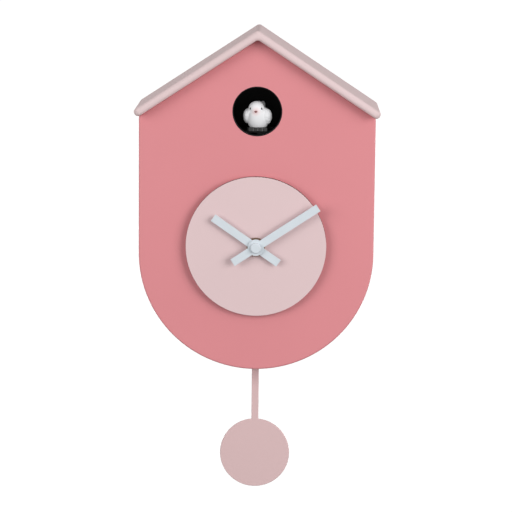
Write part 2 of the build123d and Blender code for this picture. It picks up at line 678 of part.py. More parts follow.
def make_cuckoo_housing():
    """The black tunnel behind the window: liner, flange, box and the rails of the rack bar."""
    flange_y = PANEL_Y + FLANGE_THICK
    half = TUNNEL_HALF_WIDTH
    outer = half + HOUSING_WALL
    box_rear = TUNNEL_REAR_Y + HOUSING_WALL
    flange_middle = (FLANGE_TOP_Z + FLANGE_BOTTOM_Z) / 2
    flange = RectangleRounded(2 * FLANGE_HALF_WIDTH, FLANGE_TOP_Z - FLANGE_BOTTOM_Z, 4)
    housing = slab(Pos(0, flange_middle) * flange, flange_y, PANEL_Y)
    housing += disc(WINDOW_RADIUS - LOOSE, PANEL_Y, FRONT_Y + 0.2, 0, WINDOW_Z)
    housing += block(-outer, outer, flange_y, box_rear, FLOOR_BOTTOM_Z, TUNNEL_TOP_Z + HOUSING_WALL)
    housing -= block(-half, half, flange_y, TUNNEL_REAR_Y, RAIL_FLOOR_Z, TUNNEL_TOP_Z)
    housing -= disc(TUNNEL_RADIUS, flange_y + 1, FRONT_Y - 1, 0, WINDOW_Z)
    lip_z = BAR_BOTTOM_Z + BAR_FLANGE_THICK + 0.2
    lip_top = BAR_TOP_Z - 0.4
    lip_x = BAR_NECK_HALF_WIDTH + 0.3
    left_x = BAR_HALF_WIDTH + 0.3
    right_x = RACK_PITCH_X + RACK_MODULE * ADDENDUM + 0.3
    right_y = DRIVE_Y + RACK_PITCH_RADIUS + 3
    housing += block(-left_x - 2, -left_x, flange_y, TUNNEL_REAR_Y, RAIL_FLOOR_Z, lip_top)
    housing += block(-left_x, -lip_x, flange_y, TUNNEL_REAR_Y, lip_z, lip_top)
    housing += block(right_x, right_x + 2, right_y, TUNNEL_REAR_Y, RAIL_FLOOR_Z, lip_top)
    housing += block(lip_x, right_x, right_y, TUNNEL_REAR_Y, lip_z, lip_top)
    housing -= post(drive_collar_radius() + RUNNING, FLOOR_BOTTOM_Z - 1, RAIL_FLOOR_Z + 0.1, DRIVE_X, DRIVE_Y)
    for x, z in housing_screw_places():
        housing -= disc(1.2 + LOOSE, flange_y + 1, PANEL_Y - 1, x, z)
    return housing


def make_housing_screws():
    flange_y = PANEL_Y + FLANGE_THICK
    return group(screw(x, z, flange_y + 1.6, 7.2, 2.4, 1.2, 1.6) for x, z in housing_screw_places())


def make_rack_bar():
    """The bar that carries the bird: a T-shaped slide with rack teeth along its right side."""
    flange_top = BAR_BOTTOM_Z + BAR_FLANGE_THICK
    bar = block(-BAR_HALF_WIDTH, BAR_HALF_WIDTH, BAR_FRONT_Y, BAR_REAR_Y, BAR_BOTTOM_Z, flange_top)
    bar += block(-BAR_NECK_HALF_WIDTH, BAR_NECK_HALF_WIDTH, BAR_FRONT_Y, BAR_REAR_Y, flange_top, BAR_TOP_Z)
    pitch = math.pi * RACK_MODULE
    half_tooth = pitch / 4 - TOOTH_SLACK * RACK_MODULE / 2
    lean = math.tan(PRESSURE_ANGLE) * RACK_MODULE
    tip_x = RACK_PITCH_X + ADDENDUM * RACK_MODULE
    half_root = half_tooth + DEDENDUM * lean
    half_tip = half_tooth - ADDENDUM * lean
    count = int((BAR_REAR_Y - DRIVE_Y) / pitch)
    for tooth in range(-1, count):
        y = DRIVE_Y + tooth * pitch
        corners = [
            (BAR_HALF_WIDTH - 0.5, y - half_root),
            (BAR_HALF_WIDTH, y - half_root),
            (tip_x, y - half_tip),
            (tip_x, y + half_tip),
            (BAR_HALF_WIDTH, y + half_root),
            (BAR_HALF_WIDTH - 0.5, y + half_root),
        ]
        face = Plane.XY.offset(BAR_BOTTOM_Z) * make_face(Polyline(*corners, close=True))
        bar += extrude(face, amount=BAR_FLANGE_THICK, dir=(0, 0, 1))
    return bar


def make_bird_perch():
    """The dark plate at the front of the bar, below the bird, with three upright flutes."""
    front = BAR_FRONT_Y - 2.2
    left = BIRD_X - PERCH_HALF_WIDTH
    right = BIRD_X + PERCH_HALF_WIDTH
    perch = block(left, right, front, BAR_FRONT_Y, PERCH_BOTTOM_Z, BAR_TOP_Z)
    perch = fillet(perch.edges().filter_by(Axis.Y), 0.8)
    for place in (-0.5, 0, 0.5):
        x = BIRD_X + place * PERCH_HALF_WIDTH
        perch -= post(0.9, PERCH_BOTTOM_Z - 1, BAR_TOP_Z + 1, x, front)
    return perch


def turned_bird(shape):
    """Put a piece of the bird, drawn about its own axis and facing forward, on the bar."""
    return Pos(BIRD_X, BIRD_Y, BAR_TOP_Z) * Rot(0, 0, -BIRD_TURN) * shape


def turned_head(shape):
    """Put a piece of the face on the bird, which looks back a little towards the front."""
    return turned_bird(Pos(*HEAD_SHIFT) * Rot(0, 0, HEAD_TURN) * shape)


def make_bird_body():
    """A plump bird: round breast, round head a little to one side, folded wings and a short raised tail."""
    neck = (5.2, 13.4)
    foot = (7.1, 0)
    outline = ThreePointArc(foot, (9.9, 6.0), neck) + Polyline(neck, (0, neck[1]), (0, 0), foot)
    body = revolve(Plane.XZ * make_face(outline), axis=Axis.Z)
    body += Pos(*HEAD_SHIFT, BIRD_HEIGHT - BIRD_HEAD_RADIUS) * Sphere(BIRD_HEAD_RADIUS)
    wing = fillet(Cylinder(6.4, 7.0).edges(), 2.6)
    for side in (1, -1):
        body += Pos(side * 8.2, 1.0, 10.0) * Rot(0, 90, 0) * wing
    tail = fillet(Box(7.0, 3.0, 16.0).edges(), 1.4)
    body += Pos(0, 8.6, 12.2) * Rot(-35, 0, 0) * tail
    return turned_bird(body)


def make_bird_eyes():
    """Two beads let into the head."""
    return group(turned_head(Pos(side * 4.3, -5.2, 15.7) * Sphere(1.0)) for side in (1, -1))


def make_bird_beak():
    """A short cone that points forward, let into the head."""
    return turned_head(Pos(0, -7.9, 13.3) * Rot(90, 0, 0) * Cone(1.5, 0.4, 3.6))


def drive_collar_radius():
    return RACK_PITCH_RADIUS + ADDENDUM * RACK_MODULE + 0.3


def vertical_gear(module, teeth, tooth_at, bottom, top, x, y):
    face = Plane.XY.offset(bottom) * (Pos(x, y) * gear_face(module, teeth, tooth_at))
    return extrude(face, amount=top - bottom, dir=(0, 0, 1))


def make_drive_gear():
    """Rack pinion, collar and drive gear in one moulding, on a pivot in the tray."""
    x = DRIVE_X
    y = DRIVE_Y
    pinion_at = 180 + half_pitch(RACK_PINION_TEETH)
    solid = vertical_gear(RACK_MODULE, RACK_PINION_TEETH, pinion_at, RAIL_FLOOR_Z, BAR_TOP_Z - 0.6, x, y)
    solid += post(drive_collar_radius(), FLOOR_BOTTOM_Z - 3.2, RAIL_FLOOR_Z - 0.1, x, y)
    solid += post(drive_collar_radius() - 0.5, RAIL_FLOOR_Z - 0.1, RAIL_FLOOR_Z + 0.05, x, y)
    solid += vertical_gear(DRIVE_MODULE, DRIVE_TEETH, 90, FLOOR_BOTTOM_Z - 5.2, FLOOR_BOTTOM_Z - 3.2, x, y)
    return solid + post(1.2, TRAY_BOTTOM_Z + 0.2, FLOOR_BOTTOM_Z - 5.2, x, y)


def make_gear_tray():
    """The tray under the tunnel's floor, with the drive gear's bearing and the motor's seat."""
    reach = DRIVE_MODULE * (DRIVE_TEETH / 2 + ADDENDUM)
    x0 = DRIVE_X - reach - 1.0
    x1 = DRIVE_X + reach + 1.0
    y0 = PANEL_Y + FLANGE_THICK + 1.2
    y1 = MOTOR_Y + 5.0
    tray = block(x0 - 1.2, x1 + 1.2, y0 - 1.2, y1 + 1.2, TRAY_BOTTOM_Z, FLOOR_BOTTOM_Z)
    tray -= block(x0, x1, y0, y1, TRAY_BOTTOM_Z + 1.4, FLOOR_BOTTOM_Z + 1)
    tray -= post(1.2 + RUNNING, TRAY_BOTTOM_Z - 1, FLOOR_BOTTOM_Z, DRIVE_X, DRIVE_Y)
    return tray - post(3.0 + LOOSE, TRAY_BOTTOM_Z - 1, FLOOR_BOTTOM_Z, DRIVE_X, MOTOR_Y)


def make_cuckoo_motor():
    """A small flat-sided can motor, hung under the tray."""
    can = Circle(10) & Rectangle(15, 20)
    bottom = TRAY_BOTTOM_Z - MOTOR_LENGTH
    motor = Pos(DRIVE_X, MOTOR_Y, bottom) * extrude(can, amount=MOTOR_LENGTH)
    motor += post(3.0, TRAY_BOTTOM_Z, TRAY_BOTTOM_Z + 1.4, DRIVE_X, MOTOR_Y)
    for side in (1, -1):
        motor += Pos(DRIVE_X + side * 4, MOTOR_Y, bottom - 1) * Box(2, 0.6, 2)
    return motor - post(1.0 + RUNNING, bottom + 2, TRAY_BOTTOM_Z + 2, DRIVE_X, MOTOR_Y)


def make_motor_pinion():
    tooth_at = -90 + half_pitch(PINION_TEETH)
    low = FLOOR_BOTTOM_Z - 5.4
    pinion = vertical_gear(DRIVE_MODULE, PINION_TEETH, tooth_at, low, FLOOR_BOTTOM_Z - 3.0, DRIVE_X, MOTOR_Y)
    return pinion + post(1.0, TRAY_BOTTOM_Z - 22, low, DRIVE_X, MOTOR_Y)


# Sound and power

def turned(points, x, z):
    """A solid of revolution about a line along Y; points are (radius, y)."""
    face = make_face(Polyline(*points, close=True))
    return Pos(x, 0, z) * revolve(face, axis=Axis.Y)


def make_speaker_basket():
    """The speaker's frame and magnet, clamped to the back panel."""
    points = [
        (SPEAKER_RADIUS, BACK_FRONT_Y),
        (SPEAKER_RADIUS, BACK_FRONT_Y - 2.5),
        (12, BACK_FRONT_Y - 9),
        (12, SPEAKER_FRONT_Y),
        (0, SPEAKER_FRONT_Y),
        (0, BACK_FRONT_Y - 9),
        (9, BACK_FRONT_Y - 9),
        (17.5, BACK_FRONT_Y - 2.2),
        (17.5, BACK_FRONT_Y),
    ]
    return turned(points, SPEAKER_X, SPEAKER_Z)


def make_speaker_cone():
    profile = [(17.4, 0.9), (17.4, 1.5), (6, 6.3), (0, 4.6), (0, 4.0), (6, 5.6)]
    return turned([(radius, BACK_FRONT_Y - depth) for radius, depth in profile], SPEAKER_X, SPEAKER_Z)


def make_sound_board():
    outline = Pos(BOARD_X, BOARD_Z) * Rectangle(BOARD_WIDTH, BOARD_HEIGHT)
    board = slab(outline, BOARD_REAR_Y, BOARD_REAR_Y - BOARD_THICK)
    for x, z in board_post_places():
        board -= disc(1.2 + SNUG, BOARD_REAR_Y + 1, BOARD_REAR_Y - BOARD_THICK - 1, x, z)
    return board


def lead_plug_places():
    """Plugs on the board's front for the battery, speaker and motor leads."""
    return [(BOARD_X - 4, BOARD_Z - 15), (BOARD_X - 12, BOARD_Z - 4), (BOARD_X - 10, BOARD_Z + 13)]


def make_board_parts():
    """Chip, capacitor and lead plugs on the board's front, and the button's contact on its rear."""
    front = BOARD_REAR_Y - BOARD_THICK
    solids = [slab(Pos(BOARD_X + 5, BOARD_Z + 2) * Rectangle(10, 10), front, front - 2)]
    solids.append(disc(3.2, front, front - 9, BOARD_X + 13, BOARD_Z - 9))
    for x, z in lead_plug_places():
        solids.append(slab(Pos(x, z) * Rectangle(6, 5), front, PLUG_Y))
    solids.append(slab(Pos(SWITCH_X, BUTTON_Z) * Rectangle(6, 6), BOARD_REAR_Y + 2.8, BOARD_REAR_Y))
    return group(solids)


def make_switch_body():
    rear = BOARD_REAR_Y + 5
    body = block(SWITCH_X - 6, SWITCH_X + 6, BOARD_REAR_Y, rear, SWITCH_Z - 3, SWITCH_Z + 3)
    return body - block(SWITCH_X - 4.4, SWITCH_X + 4.4, rear - 2.6, rear + 1, SWITCH_Z - 1.6, SWITCH_Z + 1.6)


def make_switch_lever():
    lever = block(SWITCH_X - 1.5, SWITCH_X + 1.5, BOARD_REAR_Y + 2.6, -0.8, SWITCH_Z - 1.2, SWITCH_Z + 1.2)
    for groove in (-0.8, 0, 0.8):
        x = SWITCH_X + groove
        lever -= block(x - 0.15, x + 0.15, -1.1, 0, SWITCH_Z - 2, SWITCH_Z + 2)
    return lever


def make_demo_button():
    button = disc(4.0, -0.8, -5.2, SWITCH_X, BUTTON_Z)
    button = fillet(edges_at_y(button, -0.8), 0.8)
    return button + disc(5.4, -5.2, -6.5, SWITCH_X, BUTTON_Z)


def cell_places():
    return [CELL_MIDDLE_Z + row * CELL_PITCH for row in (1, 0, -1)]


def make_battery_box():
    """The open tray behind the battery door, with ribs between the cells."""
    bottom = DOOR_HINGE_Z - 3.0
    top = DOOR_TOP_Z + 2.6
    half = DOOR_HALF_WIDTH + 3
    front = CELL_Y - CELL_RADIUS - 2.2
    box = block(-half, half, front, BACK_FRONT_Y, bottom, top)
    box -= block(-half + 2, half - 2, front + 1.6, 0, bottom + 1.0, top - 1.6)
    for z in cell_places()[:2]:
        rib = z - CELL_PITCH / 2
        box += block(-half + 2, half - 2, front + 1.6, front + 5, rib - 0.3, rib + 0.3)
    return box


def make_batteries():
    """Three AA cells, laid with alternate ends."""
    solids = []
    for row, z in enumerate(cell_places()):
        end = 1 if row % 2 == 0 else -1
        place = Pos(0, CELL_Y, z) * Rot(0, 90 * end, 0)
        cell = fillet(Cylinder(CELL_RADIUS, CELL_LENGTH).edges(), 0.5)
        solids.append(place * (cell + Pos(0, 0, CELL_LENGTH / 2 + 0.6) * Cylinder(2.7, 1.3)))
    return group(solids)


def make_battery_contacts():
    """A flat contact at each button end and a coil spring at each other end."""
    solids = []
    wall = DOOR_HALF_WIDTH + 1
    for row, z in enumerate(cell_places()):
        end = 1 if row % 2 == 0 else -1
        button_x = CELL_LENGTH / 2 + 1.35
        plate = Pos(end * (wall - 0.25), CELL_Y, z) * Box(0.5, 10, 10)
        boss = Pos(end * (wall - 0.5 + button_x) / 2, CELL_Y, z) * Box(wall - 0.5 - button_x, 4, 4)
        solids.append(plate + boss)
        room = wall - CELL_LENGTH / 2 - 0.9
        path = Helix(room / 3, room, 3.6)
        wire = sweep(Plane(origin=path @ 0, z_dir=path % 0) * Circle(0.4), path=path)
        solids.append(Pos(-end * (CELL_LENGTH / 2 + 0.45), CELL_Y, z) * Rot(0, -90 * end, 0) * wire)
    return group(solids)


def make_battery_door():
    """The door over the cells, on two round pins moulded to its lower corners."""
    width = 2 * DOOR_HALF_WIDTH
    height = DOOR_TOP_Z - DOOR_HINGE_Z
    hinge = Pos(0, DOOR_HINGE_Y, DOOR_HINGE_Z)
    door = hinge * Pos(0, 0, height / 2) * Box(width, 2 * DOOR_HALF_THICK, height)
    along_x = Rot(0, 90, 0)
    door += hinge * along_x * Cylinder(DOOR_HALF_THICK, width)
    door += hinge * along_x * Cylinder(0.9, width + 3.2)
    for row in range(3):
        z = DOOR_TOP_Z - 6 - 2.4 * row
        door -= block(-9, 9, DOOR_HINGE_Y + DOOR_HALF_THICK - 0.5, 0, z - 0.5, z + 0.5)
    return door


def lead(points):
    """A round two-core lead along a route, with each bend as wide as its runs allow."""
    route = [Vector(*point) for point in points]
    radii = []
    for before, corner, after in zip(route, route[1:], route[2:]):
        half_turn = math.radians((corner - before).get_angle(after - corner)) / 2
        shorter = min((corner - before).length, (after - corner).length)
        radii.append(0.45 * shorter / math.tan(half_turn))
    path = FilletPolyline(*route, radius=radii)
    return sweep(Plane(origin=path @ 0, z_dir=path % 0) * Circle(LEAD_RADIUS), path=path)


def plug_end(place):
    """The last two points of a lead that goes straight into its plug on the board."""
    return [(place[0], PLUG_Y - 14, place[1]), (place[0], PLUG_Y, place[1])]


def make_battery_lead():
    box_side = DOOR_HALF_WIDTH + 3
    route = [(box_side, -12, -195), (47, -12, -195), (58, -20, -180), (60, -32, -155), (56, -36, -130)]
    return lead(route + plug_end(lead_plug_places()[0]))


def make_speaker_lead():
    start = [(-44, SPEAKER_FRONT_Y, -100), (-44, -31, -100)]
    route = start + [(-30, -40, -104), (-4, -41, -108), (22, -38, -107.5)]
    return lead(route + plug_end(lead_plug_places()[1]))


def make_motor_lead():
    can_bottom = TRAY_BOTTOM_Z - MOTOR_LENGTH
    route = [(DRIVE_X, MOTOR_Y, can_bottom), (DRIVE_X, MOTOR_Y, -93), (22, -41, -100), (38, -36, -93)]
    return lead(route + plug_end(lead_plug_places()[2]))


NODES = {
    "roof": make_roof,
    "front_panel": make_front_panel,
    "side_wall": make_side_wall,
    "roof_cleats": make_roof_cleats,
    "fixing_blocks": make_fixing_blocks,
    "back_panel": make_back_panel,
    "back_screws": make_back_screws,
    "hanger_plate": make_hanger_plate,
    "hanger_screws": make_hanger_screws,
    "dial": make_dial,
    "dial_spacer": make_dial_spacer,
    "stem_washer": make_stem_washer,
    "stem_nut": make_stem_nut,
    "hour_hand": make_hour_hand,
    "minute_hand": make_minute_hand,
    "hand_cap": make_hand_cap,
    "gasket": make_gasket,
    "movement_case": make_movement_case,
    "movement_lid": make_movement_lid,
    "mounting_stem": make_mounting_stem,
    "centre_wheel": make_centre_wheel,
    "hour_wheel": make_hour_wheel,
    "minute_wheel": make_minute_wheel,
    "third_wheel": make_third_wheel,
    "step_pinion": make_step_pinion,
    "step_motor": make_step_motor,
    "movement_board": make_movement_board,
    "setting_shaft": make_setting_shaft,
    "setting_knob": make_setting_knob,
    "drive_coil": make_drive_coil,
    "pendulum_bracket": make_pendulum_bracket,
    "pivot_pin": make_pivot_pin,
    "swing_arm": make_swing_arm,
    "drive_magnet": make_drive_magnet,
    "pendulum": make_pendulum,
    "cuckoo_housing": make_cuckoo_housing,
    "housing_screws": make_housing_screws,
    "rack_bar": make_rack_bar,
    "bird_perch": make_bird_perch,
    "bird_body": make_bird_body,
    "bird_eyes": make_bird_eyes,
    "bird_beak": make_bird_beak,
    "drive_gear": make_drive_gear,
    "gear_tray": make_gear_tray,
    "cuckoo_motor": make_cuckoo_motor,
    "motor_pinion": make_motor_pinion,
    "speaker_basket": make_speaker_basket,
    "speaker_cone": make_speaker_cone,
    "sound_board": make_sound_board,
    "board_parts": make_board_parts,
    "switch_body": make_switch_body,
    "switch_lever": make_switch_lever,
    "demo_button": make_demo_button,
    "battery_box": make_battery_box,
    "batteries": make_batteries,
    "battery_contacts": make_battery_contacts,
    "battery_door": make_battery_door,
    "battery_lead": make_battery_lead,
    "speaker_lead": make_speaker_lead,
    "motor_lead": make_motor_lead,
}

os.makedirs("parts", exist_ok=True)
for name, make in NODES.items():
    export_step(make(), f"parts/{name}.step")
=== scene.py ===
import json
import math

import bmesh
import bpy
from mathutils import Matrix, Vector


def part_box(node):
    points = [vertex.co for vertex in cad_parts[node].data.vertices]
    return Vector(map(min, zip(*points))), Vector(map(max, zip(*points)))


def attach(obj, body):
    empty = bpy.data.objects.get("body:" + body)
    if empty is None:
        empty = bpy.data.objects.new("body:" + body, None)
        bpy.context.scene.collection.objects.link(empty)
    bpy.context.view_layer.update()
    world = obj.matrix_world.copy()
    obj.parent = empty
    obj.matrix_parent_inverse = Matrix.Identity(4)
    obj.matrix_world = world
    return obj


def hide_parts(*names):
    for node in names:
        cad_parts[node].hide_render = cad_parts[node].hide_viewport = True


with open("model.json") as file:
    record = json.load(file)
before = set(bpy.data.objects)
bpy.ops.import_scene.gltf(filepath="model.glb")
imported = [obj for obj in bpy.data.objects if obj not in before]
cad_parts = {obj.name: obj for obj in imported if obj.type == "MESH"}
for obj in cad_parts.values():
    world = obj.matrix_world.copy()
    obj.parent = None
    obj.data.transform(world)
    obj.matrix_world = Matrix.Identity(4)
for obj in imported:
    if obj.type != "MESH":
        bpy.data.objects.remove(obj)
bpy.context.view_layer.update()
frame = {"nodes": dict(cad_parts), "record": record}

# House-shaped cuckoo clock: a finish for every piece, a modelled bird, studio light and the photo's view.
# Metres, in the part's own frame: +Z up, the front towards -Y, the wall plane at y = 0.

MM = 0.001

# View: a long lens, a little above and to the right, with the clock hanging slightly turned
IMAGE_SIZE = 512
SENSOR = 36.0
FOCAL_PIXELS = 2299.0
VIEW_DISTANCE = 2.0
VIEW_ELEVATION = 9.45
VIEW_AZIMUTH = 0.84
VIEW_ROLL = math.radians(0.56)
VIEW_TARGET = Vector((-0.4, -45.0, -159.5)) * MM

# Stage and light; a lamp has a name, azimuth and elevation in degrees, a distance, and a level: the share of
# plain white that it adds to a face turned to it
FLOOR_Z = -1.6
FLOOR_HALF = 60.0
FLOOR_COLOUR = (0.3, 0.3, 0.3, 1.0)
FLOOR_LIFT = 0.95
AMBIENT = 0.37
LIT_FACE = Vector((0.0, -78.0, -100.0)) * MM
LAMP_SIZE = 0.9
LAMPS = (
    ("right_box", 46.0, 11.0, 1.5, 0.68),
    ("left_box", -46.0, 11.0, 1.5, 0.465),
    ("back_box_right", 155.0, -15.0, 2.4, 0.35),
    ("back_box_left", -155.0, -15.0, 2.4, 0.35),
)

# Bird, in its own frame: it faces -Y and stands on z = 0, on the middle of its perch
BIRD_Y = -66.5 * MM
BIRD_TURN = math.radians(-12.0)
HEAD_TURN = math.radians(8.0)
HEAD_SHIFT = Vector((-1.3, -0.3, 0.0)) * MM
BIRD_VOXEL = 0.32 * MM
EYE_TURN = math.radians(39.0)
EYE_HEIGHT = 15.8 * MM
EYE_SHAPE = (0.62, 1.12, 0.7)
BILL_HEIGHT = 13.4 * MM
BILL_REACH = 7.6 * MM
BILL_LENGTH = 2.6 * MM
BILL_HALF_WIDTH = 1.95 * MM
BILL_HALF_DEPTH = 0.95 * MM
BILL_SINK = 0.9 * MM
BILL_DROOP = 0.6 * MM
WING_GROOVES = (7.4, 10.0, 12.4)

# Bird's rounded forms, in millimetres: centre, radii, and a lean about X in degrees
SINGLE_FORMS = (
    ((0.0, -0.4, 7.5), (9.8, 9.2, 11.0), 0.0),  # breast
    ((-1.3, -1.1, 15.3), (6.8, 7.2, 6.6), 0.0),  # head
    ((0.0, 6.2, 9.0), (6.4, 7.0, 5.6), 0.0),  # rump
)
# The same for pairs, each one moved this far to its side of the centre
PAIRED_FORMS = (
    (5.6, (-0.5, -0.4, 11.4), (5.0, 6.4, 5.0), 0.0),  # shoulders
    (8.4, (-0.4, -0.6, 8.9), (4.0, 6.4, 6.6), 14.0),  # wings
    (7.4, (0.0, 6.0, 7.6), (3.0, 6.4, 4.2), -28.0),  # wing tips
    (1.7, (-0.8, 10.4, 14.4), (2.9, 1.9, 7.7), -34.0),  # tail
)


def srgb(red, green, blue):
    """A display colour, 0 to 255, as a linear colour."""
    linear = []
    for value in (red, green, blue):
        share = value / 255
        linear.append(share / 12.92 if share <= 0.04045 else ((share + 0.055) / 1.055) ** 2.4)
    return (*linear, 1.0)


def scaled(colour, amount):
    """A colour made lighter or darker."""
    return (*(min(1.0, value * amount) for value in colour[:3]), 1.0)


class Finish:
    """One material, with short calls for the nodes that it is made of."""

    def __init__(self, name, roughness=0.5, metallic=0.0, specular=0.5):
        self.material = bpy.data.materials.new(name)
        self.material.use_nodes = True
        self.tree = self.material.node_tree
        self.shader = self.tree.nodes["Principled BSDF"]
        self.shader.inputs["Roughness"].default_value = roughness
        self.shader.inputs["Metallic"].default_value = metallic
        self.shader.inputs["Specular IOR Level"].default_value = specular
        self.normal = None

    def node(self, kind, **settings):
        made = self.tree.nodes.new(kind)
        for key, value in settings.items():
            setattr(made, key, value)
        return made

    def join(self, source, target):
        self.tree.links.new(source, target)

    def place(self, stretch=(1.0, 1.0, 1.0), offset=(0.0, 0.0, 0.0)):
        """Object coordinates in metres, shifted and then stretched."""
        coordinates = self.node("ShaderNodeTexCoord")
        moved = self.node("ShaderNodeVectorMath", operation="SUBTRACT")
        moved.inputs[1].default_value = offset
        self.join(coordinates.outputs["Object"], moved.inputs[0])
        sized = self.node("ShaderNodeVectorMath", operation="MULTIPLY")
        sized.inputs[1].default_value = stretch
        self.join(moved.outputs[0], sized.inputs[0])
        return sized.outputs[0]

    def noise(self, scale, detail=3.0, stretch=(1.0, 1.0, 1.0)):
        made = self.node("ShaderNodeTexNoise")
        made.inputs["Scale"].default_value = scale
        made.inputs["Detail"].default_value = detail
        self.join(self.place(stretch), made.inputs["Vector"])
        return made.outputs["Fac"]

    def specks(self, scale, size):
        """Small round dots: 1 in a dot and 0 elsewhere."""
        cells = self.node("ShaderNodeTexVoronoi")
        cells.inputs["Scale"].default_value = scale
        self.join(self.place(), cells.inputs["Vector"])
        return self.spread(cells.outputs["Distance"], 0.0, size, 1.0, 0.0)

    def rings(self, scale, axis, centre=(0.0, 0.0, 0.0), distortion=0.0):
        """Fine lines round an axis through a point."""
        made = self.node("ShaderNodeTexWave", wave_type="RINGS", rings_direction=axis)
        made.inputs["Scale"].default_value = scale
        made.inputs["Distortion"].default_value = distortion
        self.join(self.place(offset=centre), made.inputs["Vector"])
        return made.outputs["Fac"]

    def bands(self, scale, axis):
        made = self.node("ShaderNodeTexWave", wave_type="BANDS", bands_direction=axis)
        made.inputs["Scale"].default_value = scale
        self.join(self.place(), made.inputs["Vector"])
        return made.outputs["Fac"]

    def spread(self, value, low, high, to_low, to_high):
        """Maps a value from one range to another."""
        made = self.node("ShaderNodeMapRange")
        for socket, number in zip(("From Min", "From Max", "To Min", "To Max"), (low, high, to_low, to_high)):
            made.inputs[socket].default_value = number
        self.join(value, made.inputs["Value"])
        return made.outputs["Result"]

    def math(self, operation, first, second):
        made = self.node("ShaderNodeMath", operation=operation)
        for socket, value in zip(made.inputs, (first, second)):
            if isinstance(value, (int, float)):
                socket.default_value = value
            else:
                self.join(value, socket)
        return made.outputs[0]

    def blend(self, share, first, second):
        """A colour between two, each a colour or a socket."""
        made = self.node("ShaderNodeMix", data_type="RGBA")
        self.join(share, made.inputs["Factor"])
        for index, value in ((6, first), (7, second)):
            if isinstance(value, tuple):
                made.inputs[index].default_value = value
            else:
                self.join(value, made.inputs[index])
        return made.outputs[2]

    def near(self, centre, radius):
        """1 at a point of the piece, falling to 0 at a radius from it."""
        away = self.node("ShaderNodeVectorMath", operation="LENGTH")
        self.join(self.place(offset=centre), away.inputs[0])
        return self.spread(away.outputs["Value"], 0.0, radius, 1.0, 0.0)

    def edges(self, radius):
        """1 along sharp and rounded edges, 0 on flat ground."""
        bevel = self.node("ShaderNodeBevel", samples=4)
        bevel.inputs["Radius"].default_value = radius
        geometry = self.node("ShaderNodeNewGeometry")
        dot = self.node("ShaderNodeVectorMath", operation="DOT_PRODUCT")
        self.join(bevel.outputs[0], dot.inputs[0])
        self.join(geometry.outputs["Normal"], dot.inputs[1])
        return self.spread(dot.outputs["Value"], 1.0, 0.8, 0.0, 1.0)

    def facing_front(self):
        """1 on faces that look forward or back along the piece's Y axis, 0 on its cut edges."""
        coordinates = self.node("ShaderNodeTexCoord")
        split = self.node("ShaderNodeSeparateXYZ")
        self.join(coordinates.outputs["Normal"], split.inputs[0])
        return self.spread(self.math("ABSOLUTE", split.outputs["Y"], 0.0), 0.55, 0.75, 0.0, 1.0)

    def bump(self, height, depth, strength=1.0):
        """Adds relief; depth is the height of the texture's white, in metres."""
        made = self.node("ShaderNodeBump")
        made.inputs["Strength"].default_value = strength
        made.inputs["Distance"].default_value = depth
        self.join(height, made.inputs["Height"])
        if self.normal is not None:
            self.join(self.normal, made.inputs["Normal"])
        self.normal = made.outputs["Normal"]
        self.join(self.normal, self.shader.inputs["Normal"])

    def colour(self, socket):
        self.join(socket, self.shader.inputs["Base Color"])

    def roughness(self, socket):
        self.join(socket, self.shader.inputs["Roughness"])


# Finishes

def lacquer(name, colour, specular=0.28, roughness=0.50, shaded_rim=None):
    """Sprayed satin lacquer on board: faint clouds, fine mottling, orange peel and a painted highlight
    lightening the edges.

    With a rim colour, only the faces that look forward or back are lacquered, and the cut edge takes that
    dark colour as painted shade.
    """
    finish = Finish(name, specular=specular)
    clouds = finish.blend(finish.noise(14.0, 2.0), scaled(colour, 0.975), scaled(colour, 1.025))
    grain = finish.spread(finish.noise(1500.0), 0.35, 0.65, 0.0, 0.10)
    mottled = finish.blend(grain, clouds, scaled(colour, 0.86))
    dots = finish.math("MULTIPLY", finish.specks(260.0, 0.10), 0.12)
    dusted = finish.blend(dots, mottled, scaled(colour, 0.7))
    # Painted highlight: edges lightened towards a paler copy of the colour.
    edge_highlight = finish.math("MULTIPLY", finish.edges(0.8 * MM), 0.16)
    painted = finish.blend(edge_highlight, dusted, scaled(colour, 1.25))
    if shaded_rim:
        # Painted shade on the cut edge: a near-black brown with fibres, standing in for the shadow along the
        # edge.
        fibres = finish.blend(finish.noise(900.0, 4.0), scaled(shaded_rim, 0.7), scaled(shaded_rim, 1.3))
        painted = finish.blend(finish.facing_front(), fibres, painted)
    finish.colour(painted)
    finish.roughness(finish.spread(finish.noise(300.0), 0.3, 0.7, roughness - 0.06, roughness + 0.06))
    finish.bump(finish.noise(650.0, 1.0), 0.05 * MM, 0.35)
    finish.bump(finish.noise(5200.0, 2.0), 0.012 * MM, 0.5)
    return finish.material


def enamel(name, colour):
    """Stamped and enamelled sheet: smooth, with a painted highlight lightening its edges."""
    finish = Finish(name, specular=0.4)
    clouds = finish.blend(finish.noise(120.0, 2.0), scaled(colour, 0.96), scaled(colour, 1.04))
    # Painted highlight: edges lightened towards a paler copy of the colour.
    edge_highlight = finish.math("MULTIPLY", finish.edges(0.35 * MM), 0.35)
    finish.colour(finish.blend(edge_highlight, clouds, scaled(colour, 1.2)))
    finish.roughness(finish.spread(finish.noise(800.0), 0.3, 0.7, 0.34, 0.46))
    finish.bump(finish.noise(1400.0, 2.0), 0.02 * MM, 0.4)
    return finish.material


def moulding(name, colour, roughness=0.55, grain=1.0, specular=0.4):
    """Moulded plastic with a spark-eroded grain and a painted highlight lightening its edges."""
    finish = Finish(name, specular=specular)
    clouds = finish.blend(finish.noise(60.0, 3.0), scaled(colour, 0.85), scaled(colour, 1.15))
    # Painted highlight: edges lightened towards a paler copy of the colour.
    edge_highlight = finish.math("MULTIPLY", finish.edges(0.4 * MM), 0.30)
    finish.colour(finish.blend(edge_highlight, clouds, scaled(colour, 1.7)))
    finish.roughness(finish.spread(finish.noise(900.0), 0.3, 0.7, roughness - 0.07, roughness + 0.07))
    finish.bump(finish.noise(2600.0, 3.0), 0.03 * MM * grain, 0.6)
    return finish.material


